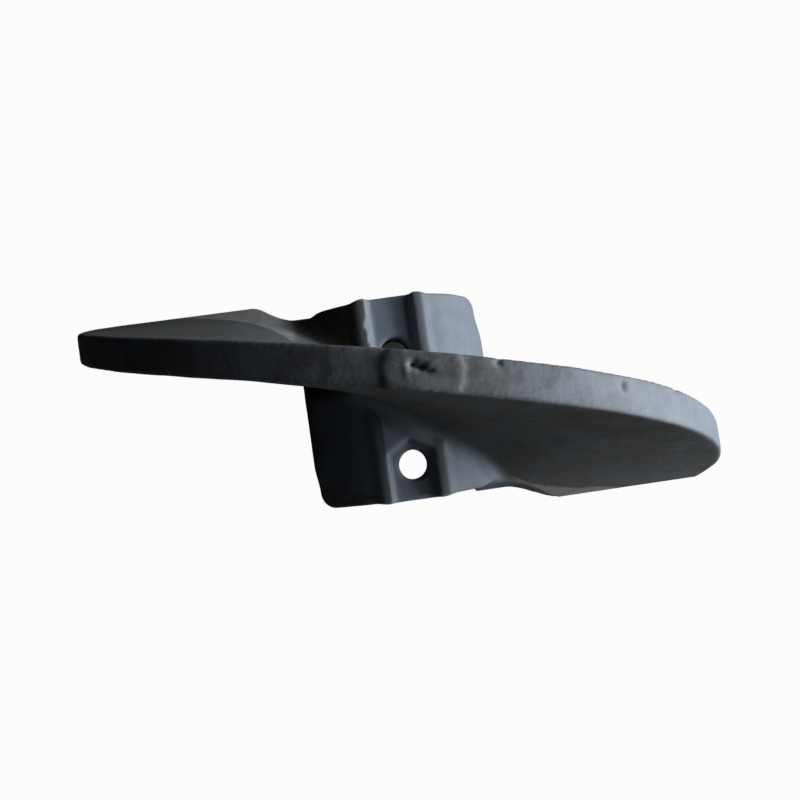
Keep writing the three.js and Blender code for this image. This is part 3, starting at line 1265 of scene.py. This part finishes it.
class Effects:
    """Shader node groups that more than one finish uses."""

    def __init__(self) -> None:
        """Builds every group once."""
        self.grain = self.cast_grain()
        self.mottle = self.paint_mottle()
        self.chips = self.edge_chips()

    @staticmethod
    def group(name: str, inputs: dict[str, Sockets],
              outputs: dict[str, Sockets]) -> bpy.types.ShaderNodeTree:
        """Makes an empty group with named sockets.

        Args:
            name: The group's name.
            inputs: Its inputs by name.
            outputs: Its outputs by name.

        Returns:
            The group.
        """
        tree = bpy.data.node_groups.new(name, "ShaderNodeTree")
        for socket, kind in inputs.items():
            tree.interface.new_socket(socket, in_out="INPUT", socket_type=kind.value)
        for socket, kind in outputs.items():
            tree.interface.new_socket(socket, in_out="OUTPUT", socket_type=kind.value)
        return tree

    def cast_grain(self) -> bpy.types.ShaderNodeTree:
        """Sand-cast relief: fine grain over soft pebbles.

        Returns:
            The group, which puts out a height.
        """
        tree = self.group("cast_grain", {"Place": Sockets.PLACE, "Fine": Sockets.NUMBER},
                          {"Height": Sockets.NUMBER})
        graph = Graph(tree)
        given = graph.add("NodeGroupInput")
        place = given.outputs["Place"]
        pebbles = graph.noise(place, scale=210.0, detail=3.0, roughness=0.55)
        grains = graph.noise(place, scale=900.0, detail=3.0, roughness=0.6)
        fine = graph.math("MULTIPLY", grains, given.outputs["Fine"])
        graph.add("NodeGroupOutput", in_Height=graph.math("ADD", pebbles, fine))
        return tree

    def paint_mottle(self) -> bpy.types.ShaderNodeTree:
        """Uneven paint: broad clouds, brush-sized patches and small specks.

        Returns:
            The group, which puts out a share for each of the three.
        """
        tree = self.group("paint_mottle", {"Place": Sockets.PLACE},
                          {"Clouds": Sockets.NUMBER, "Patches": Sockets.NUMBER,
                           "Specks": Sockets.NUMBER})
        graph = Graph(tree)
        place = graph.add("NodeGroupInput").outputs["Place"]
        clouds = graph.noise(place, scale=26.0, detail=3.0, roughness=0.55)
        patches = graph.noise(place, scale=95.0, detail=4.0, roughness=0.6)
        specks = graph.noise(place, scale=420.0, detail=3.0, roughness=0.55)
        graph.add("NodeGroupOutput",
                  in_Clouds=graph.ramp(clouds, low=0.32, high=0.68),
                  in_Patches=graph.ramp(patches, low=0.38, high=0.66),
                  in_Specks=graph.ramp(specks, low=0.62, high=0.74))
        return tree

    def edge_chips(self) -> bpy.types.ShaderNodeTree:
        """Paint worn off edges, which follows the edge and breaks up into chips.

        Returns:
            The group, which puts out the share of bare metal.
        """
        tree = self.group("edge_chips",
                          {"Place": Sockets.PLACE, "Edge": Sockets.NUMBER, "Pull": Sockets.NUMBER},
                          {"Share": Sockets.NUMBER})
        graph = Graph(tree)
        given = graph.add("NodeGroupInput")
        broken = graph.noise(given.outputs["Place"], scale=330.0, detail=4.0, roughness=0.65)
        pulled = graph.math("MULTIPLY", given.outputs["Edge"], given.outputs["Pull"])
        lifted = graph.math("ADD", pulled, broken)
        graph.add("NodeGroupOutput", in_Share=graph.ramp(lifted, low=0.72, high=1.0))
        return tree


@dataclass(frozen=True)
class CastingFinish:
    """A sand-cast surface: paint, the metal that shows through it, painted shade, a painted light
    band, and its sheen.

    Colours come first. Then come the roughness, the depth of the relief in millimetres, and the
    strength of each effect as a share.
    """

    name: str
    paint: Colour
    dark: Colour
    metal: Colour
    rubbed: Colour
    rust: Colour
    # Colour of the painted light band on the blade's ends.
    lit_band_colour: Colour
    # Near-black colour of the painted shade on the left flank and the rib tops.
    painted_shade: Colour
    bump: float
    roughness: float = 0.66
    roughness_spread: Span = (-0.02, 0.04)
    sheen: float = 0.3
    fine_grain: float = 0.35
    edge_pull: float = 0.62
    patches: float = 0.16
    # Strength of the painted shade in hollows and creases.
    hollow_shade: float = 0.45
    chips: float = 0.55
    specks: float = 0.2
    least_rubbed: float = 0.6
    least_bare: float = 0.5
    least_lit_band: float = 0.7

    def make(self, effects: Effects) -> bpy.types.Material:
        """Builds the material.

        Args:
            effects: The shared node groups.

        Returns:
            The material, for pieces that carry the skin's marks.
        """
        material = bpy.data.materials.new(self.name)
        material.use_nodes = True
        graph = Graph(material.node_tree)
        shader = material.node_tree.nodes["Principled BSDF"]
        place = graph.add("ShaderNodeTexCoord").outputs["Object"]
        mottle = graph.group(effects.mottle, Place=place)
        edge = graph.group(effects.chips, Place=place, Edge=graph.mark(Mark.EDGE), Pull=self.edge_pull)
        grain = graph.group(effects.grain, Place=place, Fine=self.fine_grain)
        clouds = mottle.outputs["Clouds"]
        patches = mottle.outputs["Patches"]
        layers = (
            (graph.math("MULTIPLY", patches, self.patches), self.dark),
            (graph.broken(Mark.RUBBED, clouds, self.least_rubbed), self.rubbed),
            (graph.broken(Mark.BARE, patches, self.least_bare), self.dark),
            # Painted shade: hollows and creases darkened towards the dark colour.
            (graph.math("MULTIPLY", graph.mark(Mark.HOLLOW), self.hollow_shade), self.dark),
            # Painted light: the blade's relieved ends lightened.
            (graph.broken(Mark.LIT_BAND, patches, self.least_lit_band), self.lit_band_colour),
            # Painted shade: the left flank and the rib tops darkened to near black.
            (graph.mark(Mark.FLANK_SHADE), self.painted_shade),
            (graph.math("MULTIPLY", graph.mark(Mark.RUST), patches), self.rust),
            (graph.math("MULTIPLY", edge.outputs["Share"], self.chips), self.metal),
            (graph.math("MULTIPLY", mottle.outputs["Specks"], self.specks), self.metal),
        )
        coat: object = (*self.paint, 1)
        for share, colour in layers:
            coat = graph.blend(share, coat, (*colour, 1))
        graph.feed(shader.inputs["Base Color"], coat)
        smoothest, roughest = (self.roughness + change for change in self.roughness_spread)
        rough = graph.ramp(patches, 0.0, 1.0, smoothest, roughest)
        graph.feed(shader.inputs["Roughness"], rough)
        shader.inputs["Specular IOR Level"].default_value = self.sheen
        bump = graph.add("ShaderNodeBump", in_Strength=1.0, in_Distance=self.bump * MM,
                         in_Height=grain.outputs["Height"])
        graph.feed(shader.inputs["Normal"], bump.outputs["Normal"])
        return material


PAINTED = CastingFinish(
    name="painted_casting",
    paint=(0.160, 0.196, 0.243),
    dark=(0.085, 0.098, 0.115),
    metal=(0.30, 0.31, 0.32),
    rubbed=(0.120, 0.127, 0.128),
    rust=(0.13, 0.07, 0.045),
    lit_band_colour=(0.330, 0.345, 0.360),
    painted_shade=(0.028, 0.028, 0.025),
    bump=0.22,
)

WORN = CastingFinish(
    name="worn_casting",
    paint=(0.170, 0.205, 0.250),
    dark=(0.085, 0.090, 0.097),
    metal=(0.26, 0.255, 0.25),
    rubbed=(0.105, 0.112, 0.112),
    rust=(0.12, 0.07, 0.05),
    lit_band_colour=(0.330, 0.345, 0.360),
    painted_shade=(0.028, 0.028, 0.025),
    bump=0.28,
)


@dataclass(frozen=True)
class SoftBox:
    """A rectangular soft light that faces the middle of the shaft.

    Attributes:
        name: Its name.
        heading: Direction it stands in, in degrees from +X towards +Y.
        height: Its elevation, in degrees.
        size: Width and height, in millimetres.
        power: Its power, in watts.
        away: Its distance, in millimetres.
    """

    name: str
    heading: float
    height: float
    size: tuple[float, float]
    power: float
    away: float = 1200.0

    def build(self) -> bpy.types.Object:
        """Places the light.

        Returns:
            The light, linked to the scene.
        """
        turn, lift = math.radians(self.heading), math.radians(self.height)
        direction = Vector((math.cos(turn) * math.cos(lift), math.sin(turn) * math.cos(lift),
                            math.sin(lift)))
        data = bpy.data.lights.new(self.name, "AREA")
        data.shape = "RECTANGLE"
        data.size, data.size_y = (length * MM for length in self.size)
        data.energy = self.power
        made = bpy.data.objects.new(self.name, data)
        made.location = direction * self.away * MM
        made.rotation_mode = "QUATERNION"
        made.rotation_quaternion = direction.to_track_quat("Z", "Y")
        bpy.context.scene.collection.objects.link(made)
        return made


@dataclass
class Studio:
    """Camera, lights and floor.

    Angles are in degrees and lengths in millimetres, and the camera's shift is a share of its frame.
    """

    lights: tuple[SoftBox, ...] = (
        SoftBox("window", -3.0, 20.0, (850.0, 300.0), 20.0),
        SoftBox("upper_wall", 15.0, 37.0, (1100.0, 500.0), 4.8),
        SoftBox("near_wall", -75.0, 30.0, (900.0, 500.0), 1.0),
    )
    azimuth: float = -3.247
    tilt: float = 3.666
    roll: float = 8.265
    distance: float = 528.0
    lens: float = 34.15
    shift: tuple[float, float] = (0.0025, 0.0049)
    ambient: float = 0.009
    clip: Span = (10.0, 20000.0)
    floor_half: float = 3000.0
    floor_drop: float = 0.5
    floor_grey: float = 0.12
    backdrop: float = 0.97
    # A painted shadow: a dark disc on the floor under the back bolt hole.
    shade_place: Point = (3.4, 38.0)
    shade_radius: float = 12.0
    shade_core: float = 0.8
    floor_shade: Colour = (0.024, 0.024, 0.019)

    def camera(self) -> bpy.types.Object:
        """Places the camera almost straight above, turned a little about its own axis.

        Returns:
            The camera, which is the scene's own.
        """
        side, up, turn = (math.radians(a) for a in (self.azimuth, self.tilt, self.roll))
        back = Vector((math.sin(side) * math.cos(up), -math.sin(up), math.cos(side) * math.cos(up)))
        right = Vector((0, 1, 0)).cross(back).normalized()
        high = back.cross(right)
        turned_right = right * math.cos(turn) - high * math.sin(turn)
        turned_high = right * math.sin(turn) + high * math.cos(turn)
        data = bpy.data.cameras.new("camera")
        data.lens = self.lens
        data.shift_x, data.shift_y = self.shift
        data.clip_start, data.clip_end = (reach * MM for reach in self.clip)
        made = bpy.data.objects.new("camera", data)
        axes = Matrix((turned_right, turned_high, back)).transposed().to_4x4()
        made.matrix_world = Matrix.Translation(back * self.distance * MM) @ axes
        bpy.context.scene.collection.objects.link(made)
        bpy.context.scene.camera = made
        return made

    def floor(self) -> bpy.types.Object:
        """A plain pale floor, evenly white but for a painted shadow under the back bolt hole.

        Returns:
            The floor, which isn't part of the object.
        """
        half = self.floor_half
        corners = [(-half, -half), (half, -half), (half, half), (-half, half)]
        made = mesh_object("floor", np.array([(x, y, -self.floor_drop) for x, y in corners]),
                           [(0, 1, 2, 3)])
        material = bpy.data.materials.new("pale_floor")
        material.use_nodes = True
        material.node_tree.nodes.clear()
        graph = Graph(material.node_tree)
        across, along = self.shade_place
        place = graph.add("ShaderNodeTexCoord").outputs["Object"]
        away = graph.add("ShaderNodeVectorMath", operation="DISTANCE")
        graph.feed_all(away, place, (across * MM, along * MM, 0.0))
        rim = self.shade_radius * MM
        # Painted shadow: the floor turns dark near the back bolt hole.
        unshaded = graph.ramp(away.outputs["Value"], self.shade_core * rim, rim)
        tone = graph.blend(unshaded, (*self.floor_shade, 1), (1, 1, 1, 1))
        seen = graph.add("ShaderNodeEmission", in_Color=tone, in_Strength=self.backdrop)
        felt = graph.add("ShaderNodeBsdfDiffuse", in_Color=(*[self.floor_grey] * 3, 1))
        mixed = graph.for_camera(felt.outputs["BSDF"], seen.outputs["Emission"])
        graph.add("ShaderNodeOutputMaterial", in_Surface=mixed)
        made.data.materials.append(material)
        return made

    def world(self) -> None:
        """Dim, even light from everywhere, and the same pale tone behind the floor."""
        world = bpy.data.worlds.new("room")
        world.use_nodes = True
        bpy.context.scene.world = world
        world.node_tree.nodes.clear()
        graph = Graph(world.node_tree)
        dim, pale = (
            graph.add("ShaderNodeBackground", in_Color=(1, 1, 1, 1), in_Strength=strength)
            for strength in (self.ambient, self.backdrop)
        )
        mixed = graph.for_camera(dim.outputs["Background"], pale.outputs["Background"])
        graph.add("ShaderNodeOutputWorld", in_Surface=mixed)

    def build(self) -> None:
        """Sets up the whole studio."""
        self.camera()
        for light in self.lights:
            light.build()
        self.floor()
        self.world()
        bpy.context.scene.view_settings.view_transform = "Standard"


def part_sections(casting: Casting, skin: bpy.types.Object) -> None:
    """Parts the skin into its sections, dresses them and lets them stand for the CAD sections.

    Args:
        casting: The casting's sizes.
        skin: The whole casting's surface.
    """
    effects = Effects()
    finishes = {Slot.PAINTED: PAINTED.make(effects), Slot.WORN: WORN.make(effects)}
    record = SkinRecord(skin, casting)
    for section in Seams(casting.sleeve).sections(casting):
        piece = bpy.data.objects.new(section.piece, skin.data.copy())
        bpy.context.scene.collection.objects.link(piece)
        for tool, cut in section.steps:
            work(piece, tool(), cut)
        piece.data.name = section.piece
        piece.data.materials.clear()
        record.dress(piece)
        piece.data.materials.append(finishes[section.slot])
        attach(piece, "root")
        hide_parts(section.node)
        log.info("%s: %d faces", section.piece, len(piece.data.polygons))


def main() -> None:
    """Builds the casting and the studio round it."""
    logging.basicConfig(level=logging.INFO, format="%(name)s: %(message)s")
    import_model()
    casting = Casting()
    skin = casting.skin()
    log.info("skin: %d faces", len(skin.data.polygons))
    part_sections(casting, skin)
    discard(skin)
    Studio().build()


if __name__ == "__main__":
    main()
